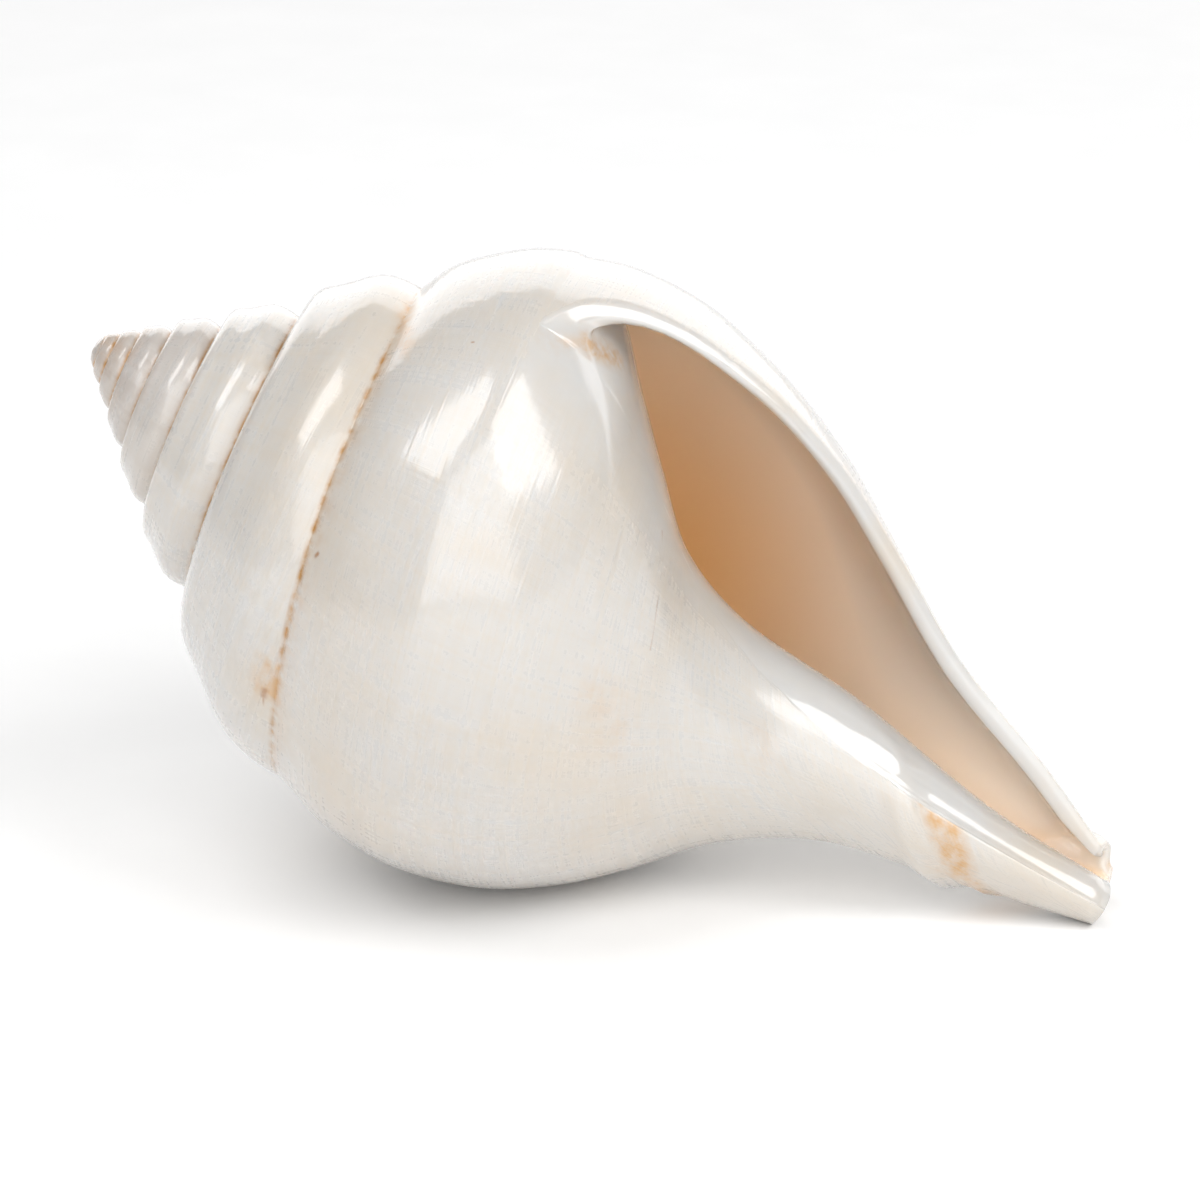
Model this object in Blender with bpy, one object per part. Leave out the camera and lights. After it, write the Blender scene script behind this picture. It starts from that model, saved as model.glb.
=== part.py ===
"""Conch shell: one closed solid with its hollow aperture and open siphonal canal.

The shell is first described about its own axis, in millimetres: z runs from the apex to the
tip of the canal, and the angle grows as the shell grew, a right-handed turn about z.
It is then laid down as it rests, on its belly and on the tip of the canal."""

import bpy
import bmesh
import numpy as np

NAME = "shell"
COLLECTION = "conch_shell"
MM = 0.001

# Resting pose: how far the axis dips towards the canal, and the turn about the axis
REST_PITCH = 25.7
REST_ROLL = 24.8
REST_FLAT = 0.7

# Growth: the lip stands at LIP_ANGLE, and one full turn earlier the last whorl starts
LIP_ANGLE = 45.0
STEPS = 36
TURNS = 6
SPIRE_COLUMNS = 7
BODY_COLUMNS = 22
LAST_KNOT = 11
NEXT_SUTURE = 4

# Suture of the early whorls: a spiral on a cone, growing by GROWTH in each turn
GROWTH = 1.53
CONE_TOP = -2.5
EARLY_ANGLE = -720
APEX_RISE = 1.4
SPIRE_LEAN = 1.4
LEAN_AT = 18.6
LEAN_SPREAD = 14.0

# Suture line of the late whorls: angle, z, radius. After LIP_ANGLE it only guides the profile
SUTURE = np.array([
    (-720, 25.7, 20.2), (-540, 31.9, 25.3), (-360, 40.3, 32.1), (-270, 45.6, 37.7),
    (-180, 57.7, 44.8), (-90, 59.8, 47.4), (0, 60.8, 48.8), (45, 61.5, 49.3),
    (180, 80.9, 48.5), (360, 88.7, 49.6), (405, 89.6, 51.1)])

# Fullness of a whorl between two sutures: share of the chord, and height over it
FULL_AT = (0.2, 0.4, 0.74)
FULL_ANGLE = (-2900, -360, -180, 0, 60)
FULLNESS = np.array([
    (0.092, 0.117, 0.102), (0.092, 0.117, 0.102), (0.034, 0.072, 0.051),
    (0.056, 0.080, 0.063), (0.056, 0.080, 0.063)])

# Body and neck below the next suture: z, radius at four ages
BODY_ANGLE = (-360, -180, 0, 45)
BODY_START = np.array([
    (68.2, 44.6), (76.0, 35.8), (83.7, 27.0), (93.0, 17.2), (105.4, 11.8), (128.7, 9.2), (178.2, 5.2)])
BODY_UNDER = np.array([
    (93.0, 45.1), (103.1, 38.9), (110.8, 31.8), (119.4, 22.2), (133.3, 13.6), (156.4, 8.8), (178.2, 4.2)])
BODY_TOP = np.array([
    (99.2, 46.3), (111.4, 40.8), (124.9, 32.2), (141.4, 21.9), (159.6, 14.3), (168.2, 10.2), (174.8, 6.8)])
BODY_LIP = np.array([
    (100.4, 48.2), (113.2, 42.2), (126.8, 33.2), (142.6, 22.2), (159.6, 14.0), (167.4, 10.2), (173.0, 7.4)])
BLEND_FROM, BLEND_TURN = -480, 120
HIDDEN_ALONG, HIDDEN_DROP = 0.186, -0.239

# End of the canal
TIP_ANGLE = (-360, -270, -180, -90, -40, 0, 45)
TIP_Z = (178.2, 179.2, 178.8, 178.8, 177.6, 174.8, 173.0)

# Lip edge behind LIP_ANGLE, and the columellar edge ahead of the start, at knots of the profile
LIP_KNOT = (0, 0.6, 2, 4, 6, 8, 9, 10, 11)
LIP_BACK = (0, 7, 13, 17, 22, 30, 33, 35, 37)
EDGE_KNOT = (0, 5, 6, 7, 8, 9, 10, 11)
EDGE_ON = (0, 0, 0, 0, 4, 20, 47, 62)
WALL_KNOT = (0, 1, 4, 8, 10, 11)
WALL = (1.2, 2.6, 3.0, 3.2, 2.9, 1.9)

# Fasciole: the raised fold that winds round the neck, and the weaker folds beyond it
FOLD_Z = 138.0
FOLD_ANGLE = -310
FOLD_PITCH = 0.124
FOLD_HEIGHT = 1.0
FOLD_WIDTH = 2.2
WRINKLE_HEIGHT = 0.3
WRINKLE_PITCH = 6.8
WRINKLE_REACH = 18.0

# Cavity: turn swept by the open canal, by the last whorl's hollow, and by the whole hollow
CANAL_SWEEP = 115.0
WHORL_SWEEP = 235.0
CAVITY_SWEEP = 1195.0
WHORL_ROWS = 8
DEEP_ROWS = 40
DEEP_COLUMN_STEP = 3
CAVITY_SHRINK = 0.42
INNER_THIN = 0.66
THIN_FROM, THIN_OVER = 10.0, 70.0
CORNER_KNOT = 0.8
CORNER_GAPS = (0.55, 1.1, 1.9)
CANAL_FROM, CANAL_OVER = 127.0, 39.0
GROOVE_AT = (0, 0.1, 0.3, 0.6, 0.85, 1)
GROOVE = (1, 0.87, 0.64, 0.48, 0.54, 0.72)


def smooth(x):
    x = np.clip(x, 0, 1)
    return x * x * (3 - 2 * x)


def curve(x, xs, ys):
    """Smooth line through the points (xs, ys), read at x and level beyond its ends."""
    xs = np.asarray(xs, float)
    ys = np.asarray(ys, float)
    x = np.clip(np.atleast_1d(np.asarray(x, float)), xs[0], xs[-1])
    column = (-1,) + (1,) * (ys.ndim - 1)
    step = np.diff(xs)
    slope = np.diff(ys, axis=0) / step.reshape(column)
    share = (step[:-1] / (step[:-1] + step[1:])).reshape(column)
    middle = slope[:-1] * (1 - share) + slope[1:] * share
    tangent = np.concatenate([slope[:1], middle, slope[-1:]])
    k = np.clip(np.searchsorted(xs, x, side="right") - 1, 0, len(xs) - 2)
    width = step[k].reshape(column)
    t = ((x - xs[k]) / step[k]).reshape(column)
    return blend(t, ys[k], ys[k + 1], width * tangent[k], width * tangent[k + 1])


def blend(t, start, end, leave, arrive):
    """Cubic from start to end with these slopes at its ends."""
    rise = t * t * (3 - 2 * t)
    return start * (1 - rise) + end * rise + leave * (t**3 - 2 * t**2 + t) + arrive * (t**3 - t**2)


def suture(angle):
    """Points (z, radius) of the suture line."""
    late = curve(np.maximum(angle, EARLY_ANGLE), SUTURE[:, 0], SUTURE[:, 1:])
    grown = GROWTH ** ((np.minimum(angle, EARLY_ANGLE) - EARLY_ANGLE) / 360)[:, None]
    first = SUTURE[0, 1:] - (CONE_TOP, 0)
    early = grown * first + (CONE_TOP, 0)
    return np.where((angle < EARLY_ANGLE)[:, None], early, late)


def section(angle):
    """The knots (z, radius) of the outer profile at each angle."""
    upper = suture(angle)
    lower = suture(angle + 360)
    chord = lower - upper
    length = np.linalg.norm(chord, axis=1)[:, None]
    along = chord / length
    outward = np.stack([-along[:, 1], along[:, 0]], axis=1)
    height = curve(angle, FULL_ANGLE, FULLNESS)
    knots = np.empty((len(angle), LAST_KNOT + 1, 2))
    knots[:, 0] = upper
    for i, share in enumerate(FULL_AT):
        knots[:, 1 + i] = upper + chord * share + outward * length * height[:, i:i + 1]
    knots[:, NEXT_SUTURE] = lower
    ages = np.array([BODY_START, BODY_UNDER, BODY_TOP, BODY_LIP])
    body = curve(np.maximum(angle, BODY_ANGLE[0]), BODY_ANGLE, ages)
    body[:, -1, 0] = curve(angle, TIP_ANGLE, TIP_Z)
    earlier = GROWTH ** ((np.minimum(angle, BODY_ANGLE[0]) - BODY_ANGLE[0]) / 360)[:, None, None]
    body = (body - (CONE_TOP, 0)) * earlier + (CONE_TOP, 0)
    hidden = lower + length * (HIDDEN_ALONG * along + HIDDEN_DROP * outward)
    mix = smooth((angle - BLEND_FROM) / BLEND_TURN)[:, None]
    knots[:, NEXT_SUTURE + 1] = hidden * (1 - mix) + body[:, 0] * mix
    knots[:, NEXT_SUTURE + 2:] = body[:, 1:]
    return knots


def folds(angle, z):
    """Height of the fasciole fold and of the wrinkles beyond it."""
    past = z - FOLD_Z - FOLD_PITCH * (angle - FOLD_ANGLE)
    crest = FOLD_HEIGHT * np.exp(-(past / FOLD_WIDTH) ** 2)
    window = smooth(past / WRINKLE_PITCH) * (1 - smooth(past / WRINKLE_REACH))
    wrinkle = WRINKLE_HEIGHT * window * np.cos(2 * np.pi * past / WRINKLE_PITCH)
    return (crest + wrinkle) * smooth((angle - FOLD_ANGLE + 20) / 40)


def profile(angle, knot):
    """Points (z, radius) on the outer surface, at this place between the knots."""
    knots = section(angle)
    step = np.sqrt(np.linalg.norm(np.diff(knots, axis=1), axis=2))[..., None]
    slope = np.diff(knots, axis=1) / step
    share = step[:, :-1] / (step[:, :-1] + step[:, 1:])
    middle = slope[:, :-1] * (1 - share) + slope[:, 1:] * share
    tangent = np.concatenate([slope[:, :1], middle, slope[:, -1:]], axis=1)
    i = np.clip(np.floor(knot).astype(int), 0, LAST_KNOT - 1)
    row = np.arange(len(angle))
    t = (knot - i)[:, None]
    width = step[row, i]
    points = blend(t, knots[row, i], knots[row, i + 1],
                   width * tangent[row, i], width * tangent[row, i + 1])
    points[:, 1] += folds(angle, points[:, 0])
    return points


def inward(angle, knot):
    """The direction in the (z, radius) plane that points into the wall."""
    reach = 0.001
    low = np.minimum(knot, LAST_KNOT - reach)
    along = profile(angle, low + reach) - profile(angle, low)
    along /= np.linalg.norm(along, axis=1)[:, None]
    return np.column_stack([along[:, 1], -along[:, 0]])


def radius_at(angle, z):
    """Outer radius at this z, below the next suture."""
    knots = np.linspace(NEXT_SUTURE - 0.5, LAST_KNOT, 120)
    lines = profile(np.repeat(angle, len(knots)), np.tile(knots, len(angle)))
    lines = lines.reshape(len(angle), len(knots), 2)
    return np.array([np.interp(at, line[:, 0], line[:, 1]) for at, line in zip(z, lines)])


def place(angle, points):
    """Points (z, radius) at their angles as points in space about the shell's axis."""
    turn = np.radians(angle)
    z, radius = points[:, 0], points[:, 1]
    lean = SPIRE_LEAN * np.exp(-((z - LEAN_AT) / LEAN_SPREAD) ** 2)
    return np.column_stack([radius * np.cos(turn) - lean, radius * np.sin(turn), z])


def knot_columns():
    """Where the columns of the body's grid cross the profile."""
    upper = NEXT_SUTURE * (1 - np.cos(np.linspace(0, np.pi, SPIRE_COLUMNS + 1))) / 2
    lower = np.linspace(NEXT_SUTURE, LAST_KNOT, BODY_COLUMNS + 1)
    return np.concatenate([upper, lower[1:]])


def lift(row, angle, gaps):
    """Keeps the wall's first columns clear of the earlier whorl that they start from."""
    knots = np.linspace(NEXT_SUTURE - 0.4, 8, 160)
    for column, gap in enumerate(gaps, start=1):
        point = row[column]
        own = np.degrees(np.arctan2(point[1], point[0]))
        own += 360 * np.round((angle - own) / 360)
        floor = profile(np.full(len(knots), own - 360), knots)
        at = np.array([point[2], np.hypot(point[0], point[1])])
        near = np.argmin(np.hypot(*(floor - at).T))
        near = int(np.clip(near, 1, len(knots) - 2))
        along = floor[near + 1] - floor[near - 1]
        up = np.array([-along[1], along[0]]) / np.linalg.norm(along)
        short = gap - (at - floor[near]) @ up
        if short > 0:
            z, radius = at + up * short
            turn = np.radians(own)
            row[column] = (radius * np.cos(turn), radius * np.sin(turn), z)


def outer_rows(knots):
    """Rows of points across the outside, from the apex to the lip."""
    lip_back = curve(knots, LIP_KNOT, LIP_BACK)
    edge_on = curve(knots, EDGE_KNOT, EDGE_ON)
    rows = []
    for step in range(-TURNS * STEPS, STEPS + 1):
        angle = LIP_ANGLE - 360 + 360 * step / STEPS
        grown = step / STEPS
        if step < 0:
            used = knots[:SPIRE_COLUMNS + 1]
            angles = np.full(len(used), angle)
        else:
            used = knots
            angles = angle - lip_back * smooth(grown * 1.2 - 0.2) + edge_on * (1 - smooth(grown * 2.5))
        rows.append(place(angles, profile(angles, used)))
    return rows


def sweeps():
    """Turn from the lip to each row of the cavity: of the lip's rim, and of its two ends."""
    half = STEPS // 2
    rim = np.array([0, -1.5, 0.5, 4])
    canal = np.linspace(11, CANAL_SWEEP, half - len(rim) + 1)
    whorl = np.linspace(CANAL_SWEEP, WHORL_SWEEP, WHORL_ROWS + 1)[1:]
    deep = np.linspace(WHORL_SWEEP, CAVITY_SWEEP, DEEP_ROWS + 1)[1:]
    full = np.concatenate([rim, canal, whorl, deep])
    ends = full.copy()
    ends[:3] = (0, 0.5, 1.5)
    return full, ends


def cavity_rows(knots):
    """Rows of the inner wall, and of the parietal and columellar wall that faces it."""
    half = STEPS // 2
    full, ends = sweeps()
    lip_back = curve(knots, LIP_KNOT, LIP_BACK)
    edge_on = curve(knots[SPIRE_COLUMNS:], EDGE_KNOT, EDGE_ON)
    start_angle = LIP_ANGLE - 360 + edge_on
    start = profile(start_angle, knots[SPIRE_COLUMNS:])
    share = (start[:, 0] - start[0, 0]) / (start[-1, 0] - start[0, 0])
    along = np.linspace(0, 1, BODY_COLUMNS + 1)
    count = np.arange(len(knots))
    walls, floors = [], []
    for row in range(1, len(full)):
        open_share = min(row / half, 1.0)
        thick = (0.4, 0.85, 1.0)[min(row, 3) - 1]
        past = smooth((full[row] - CANAL_SWEEP) / (WHORL_SWEEP - CANAL_SWEEP))
        size = GROWTH ** (min(WHORL_SWEEP - full[row], 0) / 360)
        used = np.where(knots <= NEXT_SUTURE, knots,
                        NEXT_SUTURE + (knots - NEXT_SUTURE) * (1 - CAVITY_SHRINK * past))
        ease = 1 - smooth(open_share)
        rim = ends[row] + (full[row] - ends[row]) * np.clip(count / 4, 0, 1)
        angles = LIP_ANGLE - rim - lip_back * ease
        thin = 1 - (1 - INNER_THIN) * smooth((full[row] - THIN_FROM) / THIN_OVER)
        depth = np.interp(used, WALL_KNOT, WALL) * thick * thin * size
        inner = profile(angles, used) + inward(angles, used) * depth[:, None]
        wall = place(angles, inner)
        own = np.array([LIP_ANGLE - ends[row] - 360])
        corner = place(own, profile(own, np.array([NEXT_SUTURE + CORNER_KNOT * thick])))[0]
        wall = corner + (wall - corner) * (np.clip(count / 4, 0, 1) ** 0.8)[:, None]
        lift(wall, LIP_ANGLE - ends[row], np.array(CORNER_GAPS) * thick * size)

        angles = LIP_ANGLE - ends[row] + edge_on * ease - 360
        if row <= half:
            bottom = curve(angles, TIP_ANGLE, TIP_Z)
        else:
            bottom = np.full(len(angles), inner[-1, 0])
        z = corner[2] + (bottom - corner[2]) * share
        radius = radius_at(angles, z)
        groove = curve(open_share, GROOVE_AT, GROOVE)[0]
        radius *= 1 + (groove - 1) * smooth((z - CANAL_FROM) / CANAL_OVER)
        floor = place(angles, np.column_stack([z, radius]))
        floor[0] = corner

        near_end = np.clip((along - 0.72) / 0.28, 0, 1)
        closing = smooth(open_share) ** 2 * (1 - np.sqrt(1 - near_end**2))
        middle = (wall[SPIRE_COLUMNS:] + floor) / 2
        wall[SPIRE_COLUMNS:] += (middle - wall[SPIRE_COLUMNS:]) * closing[:, None]
        floor += (middle - floor) * closing[:, None]
        walls.append(wall)
        floors.append(floor)
    return walls, floors


class Surface:
    """Points and faces of the closed surface, as they are added."""

    def __init__(self):
        self.points = []
        self.faces = []

    def point(self, place_of_it):
        self.points.append(np.asarray(place_of_it, float))
        return len(self.points) - 1

    def face(self, *corners):
        corners = tuple(dict.fromkeys(corners))
        if len(corners) > 2:
            self.faces.append(corners)

    def sheet(self, first, second):
        """Faces between two rows of points of the same length."""
        for j in range(len(first) - 1):
            self.face(first[j], second[j], second[j + 1], first[j + 1])

    def zip_up(self, first, first_at, second, second_at):
        """Triangles between two lines of points that share their ends, matched by position."""
        i, j = 0, 0
        while i < len(first) - 1 or j < len(second) - 1:
            ahead = j == len(second) - 1 or (i < len(first) - 1 and first_at[i + 1] <= second_at[j + 1])
            if ahead:
                self.face(first[i], second[j], first[i + 1])
                i += 1
            else:
                self.face(first[i], second[j], second[j + 1])
                j += 1


def add_outside(surface, knots):
    """The outside. Each whorl shares the points of its suture with the whorl before."""
    rows = outer_rows(knots)
    start = TURNS * STEPS
    index = []
    for r, row in enumerate(rows):
        shared = 0 <= r - STEPS <= start
        first = index[r - STEPS][SPIRE_COLUMNS] if shared else surface.point(row[0])
        index.append([first] + [surface.point(p) for p in row[1:]])
    for r in range(len(rows) - 1):
        width = SPIRE_COLUMNS if r < start else len(knots) - 1
        surface.sheet(index[r][:width + 1], index[r + 1][:width + 1])
    ring = [index[r][0] for r in range(STEPS)]
    middle = np.mean([surface.points[i] for i in ring], axis=0)
    apex = surface.point((middle[0], middle[1], surface.points[ring[0]][2] - APEX_RISE))
    loop = ring + index[0][:0:-1]
    for a, b in zip(loop, loop[1:] + loop[:1]):
        surface.face(apex, b, a)
    return index[start:]


def add_cavity(surface, knots, body):
    """The cavity from the lip inwards, and the cut face at the tip of the canal."""
    half = STEPS // 2
    walls, floors = cavity_rows(knots)
    fine = len(walls) - DEEP_ROWS
    wall_index = [body[-1]]
    floor_index = [body[0][SPIRE_COLUMNS:]]
    for row, (wall, floor) in enumerate(zip(walls[:fine], floors), start=1):
        wall_row = [surface.point(p) for p in wall]
        floor_row = [wall_row[0]] + [surface.point(p) for p in floor[1:-1]]
        floor_row.append(wall_row[-1] if row >= half else surface.point(floor[-1]))
        wall_index.append(wall_row)
        floor_index.append(floor_row)
    for row in range(fine):
        surface.sheet(wall_index[row], wall_index[row + 1])
        surface.sheet(floor_index[row + 1], floor_index[row])
    outer = [row[-1] for row in reversed(body)]
    inner = [row[-1] for row in wall_index[:half + 1]]
    inner += [row[-1] for row in reversed(floor_index[:half])]
    full = sweeps()[0][:half + 1]
    inner_at = np.concatenate([full, np.linspace(CANAL_SWEEP, 360, half + 1)[1:]])
    surface.zip_up(outer, np.linspace(0, 360, STEPS + 1), inner, inner_at)
    return add_deep_whorls(surface, wall_index[-1], floor_index[-1], walls[fine:], floors[fine:])


def add_deep_whorls(surface, wall_row, floor_row, walls, floors):
    """The hollow's inner whorls, with fewer columns. Returns its last ring of points."""
    kept_wall = sorted(set(range(0, len(wall_row), DEEP_COLUMN_STEP)) | {len(wall_row) - 1})
    kept_floor = sorted(set(range(0, len(floor_row), DEEP_COLUMN_STEP)) | {len(floor_row) - 1})
    last = wall_row + floor_row[-2::-1]
    reverse = len(wall_row) + len(floor_row) - 2
    kept = kept_wall + [reverse - j for j in reversed(kept_floor)][1:]
    before = None
    for wall, floor in zip(walls, floors):
        ring = [surface.point(wall[j]) for j in kept_wall]
        ring += [surface.point(floor[j]) for j in reversed(kept_floor[1:-1])]
        ring.append(ring[0])
        if before is None:
            for n, (low, high) in enumerate(zip(kept, kept[1:])):
                surface.face(*reversed(last[low:high + 1]), ring[n], ring[n + 1])
        else:
            surface.sheet(before, ring)
        before = ring
    return before[:-1]


def add_blind_end(surface, loop):
    """Closes the deep end of the cavity with a rounded cap."""
    points = np.array([surface.points[i] for i in loop])
    middle = points.mean(axis=0)
    back = np.radians(-10)
    turn = np.array([[np.cos(back), -np.sin(back), 0], [np.sin(back), np.cos(back), 0], [0, 0, 1]])
    ring = [surface.point(turn @ (middle + (p - middle) * 0.6)) for p in points]
    hub = surface.point(turn @ turn @ middle)
    surface.sheet(loop + loop[:1], ring + ring[:1])
    for a, b in zip(ring, ring[1:] + ring[:1]):
        surface.face(a, hub, b)


def rest(points):
    """Lays the shell down: belly and tip on z = 0, the apex towards -X and the aperture to -Y."""
    pitch, roll = np.radians(REST_PITCH), np.radians(REST_ROLL)
    up = points[:, 0] * np.cos(roll) + points[:, 1] * np.sin(roll)
    front = points[:, 1] * np.cos(roll) - points[:, 0] * np.sin(roll)
    along = points[:, 2]
    laid = np.column_stack([
        along * np.cos(pitch) + up * np.sin(pitch), -front, up * np.cos(pitch) - along * np.sin(pitch)])
    laid[:, 0] -= (laid[:, 0].min() + laid[:, 0].max()) / 2
    laid[:, 1] -= (laid[:, 1].min() + laid[:, 1].max()) / 2
    laid[:, 2] = np.maximum(laid[:, 2] - laid[:, 2].min() - REST_FLAT, 0)
    return laid


def shell_material():
    material = bpy.data.materials.new("polished_shell")
    material.use_nodes = True
    surface = material.node_tree.nodes["Principled BSDF"]
    surface.inputs["Base Color"].default_value = (0.87, 0.85, 0.81, 1.0)
    surface.inputs["Roughness"].default_value = 0.25
    return material


def main():
    for old in list(bpy.data.objects):
        bpy.data.objects.remove(old)
    knots = knot_columns()
    surface = Surface()
    body = add_outside(surface, knots)
    add_blind_end(surface, add_cavity(surface, knots, body))
    points = rest(np.array(surface.points)) * MM

    form = bmesh.new()
    corners = [form.verts.new(p) for p in points]
    for face in surface.faces:
        form.faces.new([corners[i] for i in face])
    mesh = bpy.data.meshes.new(NAME)
    form.to_mesh(mesh)
    form.free()
    mesh.materials.append(shell_material())
    shell = bpy.data.objects.new(NAME, mesh)
    group = bpy.data.collections.new(COLLECTION)
    bpy.context.scene.collection.children.link(group)
    group.objects.link(shell)


main()
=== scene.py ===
"""Looks of the conch shell: the polished white shell with its stained sutures and tan aperture.

The shell is described about its own axis in millimetres, as it grew: z runs from the apex to
the tip of the canal, and the angle, in degrees, turns right-handed about z. It is then laid
down on its belly and on the tip of the canal."""

import bmesh
import bpy
import numpy as np
from bpy.props import FloatProperty, FloatVectorProperty, PointerProperty
from mathutils import Matrix, Vector


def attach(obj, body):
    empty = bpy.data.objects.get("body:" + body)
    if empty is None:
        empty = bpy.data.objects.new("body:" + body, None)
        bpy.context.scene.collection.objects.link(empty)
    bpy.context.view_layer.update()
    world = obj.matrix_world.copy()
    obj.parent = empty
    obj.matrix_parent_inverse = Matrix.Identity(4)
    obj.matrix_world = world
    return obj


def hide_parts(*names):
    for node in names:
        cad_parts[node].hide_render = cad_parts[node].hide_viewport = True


bl_info = {
    "name": "Conch Shell",
    "version": (1, 0, 0),
    "blender": (4, 5, 0),
    "location": "3D View > Sidebar > Shell",
    "description": "Grows a right-handed conch shell and lays it on a pale floor",
    "category": "Object",
}

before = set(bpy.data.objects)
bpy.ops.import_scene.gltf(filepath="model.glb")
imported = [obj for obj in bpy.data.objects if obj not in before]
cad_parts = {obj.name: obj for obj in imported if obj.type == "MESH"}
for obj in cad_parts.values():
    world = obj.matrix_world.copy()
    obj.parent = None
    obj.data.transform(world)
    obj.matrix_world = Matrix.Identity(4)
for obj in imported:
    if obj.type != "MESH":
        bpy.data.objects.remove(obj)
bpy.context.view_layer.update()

# Resting pose: dip of the axis, turn about it, and where the axis origin comes to lie
REST_PITCH = 25.7
REST_ROLL = 24.8
REST_SHIFT = (-80.87, -0.62, 81.15)

# Growth
LIP_ANGLE = 45.0
ROWS = 144
TURNS = 8
SPIRE_COLUMNS = 20
BODY_COLUMNS = 72
LAST_KNOT = 11
NEXT_SUTURE = 4
GROWTH = 1.53
CONE_TOP = -2.5
EARLY_ANGLE = -720
NUCLEUS_ANGLE = -2475
NUCLEUS_RISE = 0.95
SPIRE_LEAN = 1.4
LEAN_AT = 18.6
LEAN_SPREAD = 14.0
NO_LENGTH = 1e-6
NO_STEP = 1e-4
KNOT_STEP = 0.001

# Suture line of the late whorls: angle, z, radius. After LIP_ANGLE it only guides the profile
SUTURE = np.array([
    (-720, 25.7, 20.2), (-540, 31.9, 25.3), (-360, 40.3, 32.1), (-270, 45.6, 37.7),
    (-180, 57.7, 44.8), (-90, 59.8, 47.4), (0, 60.8, 48.8), (45, 61.5, 49.3),
    (180, 80.9, 48.5), (360, 88.7, 49.6), (405, 89.6, 51.1)])

# Fullness of a whorl between two sutures: share of the chord, and height over it
FULL_AT = (0.2, 0.4, 0.74)
FULL_ANGLE = (-2900, -360, -180, 0, 60)
FULLNESS = np.array([
    (0.092, 0.117, 0.102), (0.092, 0.117, 0.102), (0.034, 0.072, 0.051),
    (0.056, 0.080, 0.063), (0.056, 0.080, 0.063)])

# Body and neck below the next suture: z, radius at four ages
BODY_ANGLE = (-360, -180, 0, 45)
BODY_START = np.array([
    (68.2, 44.6), (76.0, 35.8), (83.7, 27.0), (93.0, 17.2), (105.4, 11.8), (128.7, 9.2), (178.2, 5.2)])
BODY_UNDER = np.array([
    (93.0, 45.1), (103.1, 38.9), (110.8, 31.8), (119.4, 22.2), (133.3, 13.6), (156.4, 8.8), (178.2, 4.2)])
BODY_TOP = np.array([
    (99.2, 46.3), (111.4, 40.8), (124.9, 32.2), (141.4, 21.9), (159.6, 14.3), (168.2, 10.2), (174.8, 6.8)])
BODY_LIP = np.array([
    (100.4, 48.2), (113.2, 42.2), (126.8, 33.2), (142.6, 22.2), (159.6, 14.0), (167.4, 10.2), (173.0, 7.4)])
BLEND_FROM, BLEND_TURN = -480, 120
HIDDEN_ALONG, HIDDEN_DROP = 0.186, -0.239
TIP_ANGLE = (-360, -270, -180, -90, -40, 0, 45)
TIP_Z = (178.2, 179.2, 178.8, 178.8, 177.6, 174.8, 173.0)

# Lip edge behind LIP_ANGLE, columellar edge ahead of the start, and wall, at knots of the profile
LIP_KNOT = (0, 0.6, 2, 4, 6, 8, 9, 10, 11)
LIP_BACK = (0, 7, 13, 17, 22, 30, 33, 35, 37)
LIP_EASE = 1.2
EDGE_KNOT = (0, 5, 6, 7, 8, 9, 10, 11)
EDGE_ON = (0, 0, 0, 0, 4, 20, 47, 62)
EDGE_EASE = 2.5
WALL_KNOT = (0, 1, 4, 8, 10, 11)
WALL = (1.2, 2.6, 3.0, 3.2, 2.9, 1.9)

# Fasciole: the raised fold that winds round the neck, and the weaker folds beyond it
FOLD_Z = 138.0
FOLD_ANGLE = -310
FOLD_PITCH = 0.124
FOLD_WIDTH = 2.2
FOLD_FADE = 20
WRINKLE_PITCH = 6.8
WRINKLE_REACH = 18.0

# Cavity. Its sizes are counted in the rows and columns of the cast solid; it is drawn finer
CAST_ROWS = 36
CAST_SPIRE, CAST_BODY = 7, 22
FINER = ROWS // CAST_ROWS
RIM_SWEEP = (0, -1.5, 0.5, 4)
RIM_END_SWEEP = (0, 0.5, 1.5)
BEHIND_RIM_SWEEP = 11
CANAL_SWEEP = 115.0
WHORL_SWEEP = 235.0
CAVITY_SWEEP = 1195.0
WHORL_ROWS = 8
DEEP_ROWS = 40
CAVITY_SHRINK = 0.42
INNER_THIN = 0.66
THIN_FROM, THIN_OVER = 10.0, 70.0
CORNER_KNOT = 0.8
CORNER_GAPS = (0.55, 1.1, 1.9)
CORNER_COLUMNS, CORNER_EASE = 4, 0.8
CLOSING_FROM = 0.72
RIM_ROW, RIM_THICK = (0, 1, 2, 3), (0, 0.4, 0.85, 1)
CANAL_FROM, CANAL_OVER = 127.0, 39.0
GROOVE_AT = (0, 0.1, 0.3, 0.6, 0.85, 1)
GROOVE = (1, 0.87, 0.64, 0.48, 0.54, 0.72)

# Knots looked through for a point of the profile: from, to, how many
BODY_SEARCH = (NEXT_SUTURE - 0.5, LAST_KNOT, 120)
FLOOR_SEARCH = (NEXT_SUTURE - 0.4, 8, 160)

MERGE = 0.001
TIP_REACH = 5
MM = 0.001

# Where colour follows the form, in millimetres and degrees
MASKS = ("seam_and_shade", "inner", "glaze", "early", "fasciole")
SEAM_BELOW, SEAM_ABOVE = 0.8, 0.4
SEAM_UNTIL, SEAM_OVER = -50, 45
# Painted shade beside each suture: strength and reach
SEAM_SHADE, SEAM_SHADE_REACH = 0.4, 2.4
EARLY_FROM, EARLY_OVER = -1050, 500
GLAZE_OVER = 25
INNER_FROM_LIP, INNER_FROM_START, INNER_OVER = 24, 42, 105
PALE_CANAL, PALE_FROM, PALE_OVER = 0.6, 92, 45
# Band of painted shade just past the fold's crest: from, to, edge
BAND_FROM, BAND_TO, BAND_EDGE = 2.5, 9.0, 1.6

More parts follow.
